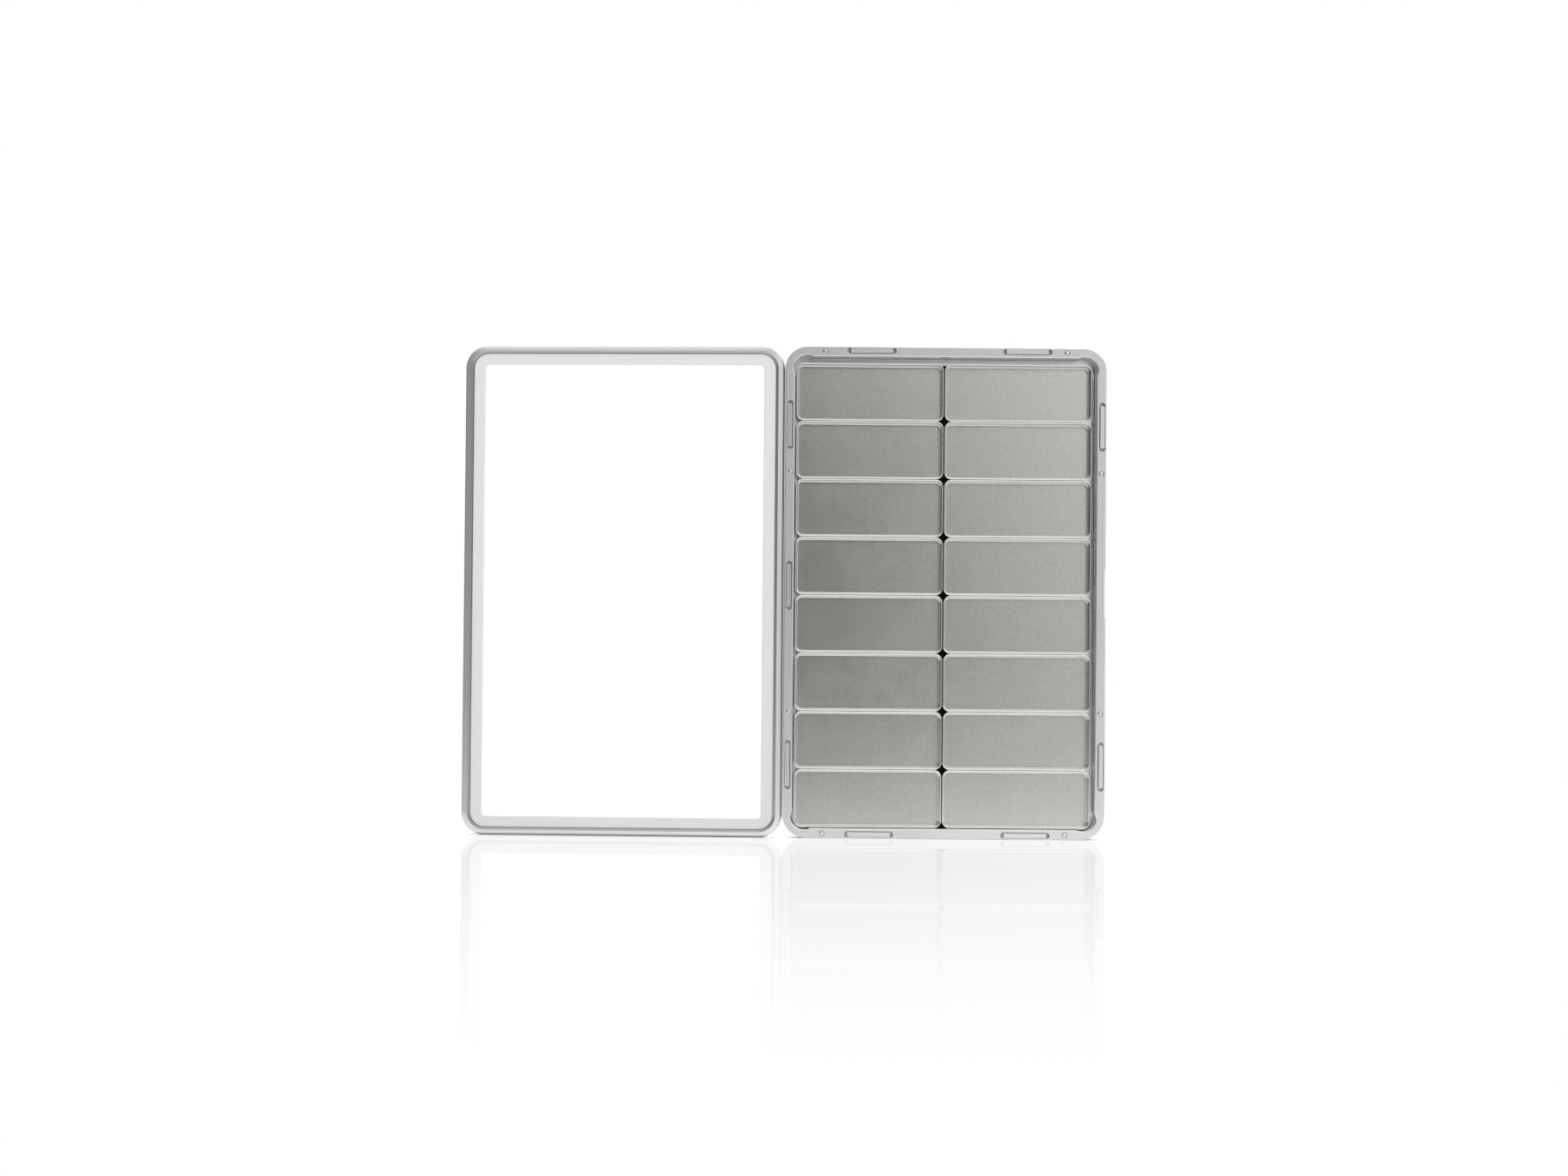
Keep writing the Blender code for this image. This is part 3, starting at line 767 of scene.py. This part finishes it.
floor_mesh = bpy.data.meshes.new("floor")
floor_corners = [(-1, -1), (1, -1), (1, 1), (-1, 1)]
floor_mesh.from_pydata([(x * floor_reach, y * floor_reach, 0) for x, y in floor_corners], [], [(0, 1, 2, 3)])
floor_mesh.materials.append(floor_finish())
floor = bpy.data.objects.new("floor", floor_mesh)
bpy.context.collection.objects.link(floor)


# Light. A white studio. Metal sees a bright ceiling, a lamp, pale walls and the dark shape of the camera,
# and two broad soft lights, which metal doesn't see, light the matt surfaces.
left_light = 0.38
right_light = 0.30
studio_patches = (
    # aim, half size, even share of it, brightness added at the middle
    ((0.0, 0.0, 1.0), (1.1, 1.1, 0.95), 0.0, 1.3),  # ceiling
    ((0.25, -0.97, 0.2), (0.55, 0.8, 0.6), 0.25, 1.0),  # wall behind the camera
    ((0.0, 1.0, 0.1), (1.2, 1.0, 0.8), 0.5, 0.75),  # wall behind the tin
    ((1.0, 0.1, 0.0), (0.5, 0.6, 0.7), 0.2, 0.4),  # wall to the right
    ((0.7, 0.05, 0.7), (0.42, 0.5, 0.42), 0.3, 1.5),  # lamp up to the right
    ((-1.0, -0.1, 0.0), (0.5, 0.6, 0.6), 0.3, -0.2),  # dimmer wall to the left
    ((-0.27, -0.96, 0.05), (0.13, 0.6, 0.6), 0.0, -1.0),  # dark upright strip beside the camera
    ((-0.035, -1.0, 0.024), (0.17, 0.4, 0.18), 0.0, -1.9),  # camera
)


def studio_world():
    """White to the camera; to everything else the studio, each patch added to the light from the sides."""
    world = bpy.data.worlds.new("studio")
    bpy.context.scene.world = world
    world.use_nodes = True
    tree = world.node_tree
    tree.nodes.clear()
    way = add_node(tree, "ShaderNodeTexCoord").outputs["Generated"]
    across = add_node(tree, "ShaderNodeSeparateXYZ", {0: way})
    total = add_node(tree, "ShaderNodeMapRange", {
        "Value": across.outputs["X"], "From Min": -1.0, "From Max": 1.0,
        "To Min": left_light, "To Max": right_light})
    for aim, size, even_share, brightness in studio_patches:
        offset = add_node(tree, "ShaderNodeVectorMath", {0: way, 1: aim}, operation="SUBTRACT")
        scaled = add_node(tree, "ShaderNodeVectorMath", {0: offset.outputs[0], 1: size}, operation="DIVIDE")
        distance = add_node(tree, "ShaderNodeVectorMath", {0: scaled.outputs[0]}, operation="LENGTH")
        patch = add_node(tree, "ShaderNodeMapRange", {
            "Value": distance.outputs["Value"], "From Min": even_share, "To Min": brightness, "To Max": 0.0},
            interpolation_type="SMOOTHSTEP")
        total = add_node(tree, "ShaderNodeMath", {0: total.outputs[0], 1: patch.outputs[0]}, operation="ADD")
    room = add_node(tree, "ShaderNodeBackground", {"Strength": total.outputs[0]})
    room.inputs["Color"].default_value = (1, 1, 1, 1)
    white = add_node(tree, "ShaderNodeBackground", {"Strength": 1.0})
    white.inputs["Color"].default_value = (1, 1, 1, 1)
    rays = add_node(tree, "ShaderNodeLightPath")
    mixed = add_node(tree, "ShaderNodeMixShader", {
        0: rays.outputs["Is Camera Ray"], 1: room.outputs[0], 2: white.outputs[0]})
    tree.links.new(mixed.outputs[0], tree.nodes.new("ShaderNodeOutputWorld").inputs["Surface"])


def soft_light(name, place, aim, size, power):
    """A square light that metal doesn't mirror."""
    light = bpy.data.lights.new(name, "AREA")
    light.shape = "SQUARE"
    light.size = size
    light.energy = power
    holder = bpy.data.objects.new(name, light)
    holder.location = place
    holder.rotation_euler = (Vector(aim) - Vector(place)).to_track_quat("-Z", "Y").to_euler()
    holder.visible_glossy = False
    bpy.context.collection.objects.link(holder)


studio_world()
tin_middle = (-0.046, 0.0, 0.07)
soft_light("overhead", (-0.1, -0.8, 1.1), tin_middle, size=1.0, power=13.0)
soft_light("right_side", (1.0, -0.9, 0.6), tin_middle, size=0.8, power=4.5)

scene = bpy.context.scene
scene.view_settings.view_transform = "Standard"
scene.view_settings.look = "None"


# Camera. An 85 mm lens about a metre away, low and looking up a little. Its place and turns were fitted
# to the corners of both halves of the tin.
camera_place = (-0.0553, -1.0567, 0.0373)
camera_yaw = math.radians(0.52)
camera_pitch = math.radians(1.83)
camera_roll = math.radians(0.47)
lens = bpy.data.cameras.new("view")
lens.lens = 85
lens.sensor_width = 36
lens.clip_end = 20
camera = bpy.data.objects.new("view", lens)
camera.matrix_world = (
    Matrix.Translation(camera_place) @ Matrix.Rotation(-camera_yaw, 4, "Z")
    @ Matrix.Rotation(math.pi / 2 + camera_pitch, 4, "X") @ Matrix.Rotation(camera_roll, 4, "Z"))
bpy.context.collection.objects.link(camera)
scene.camera = camera
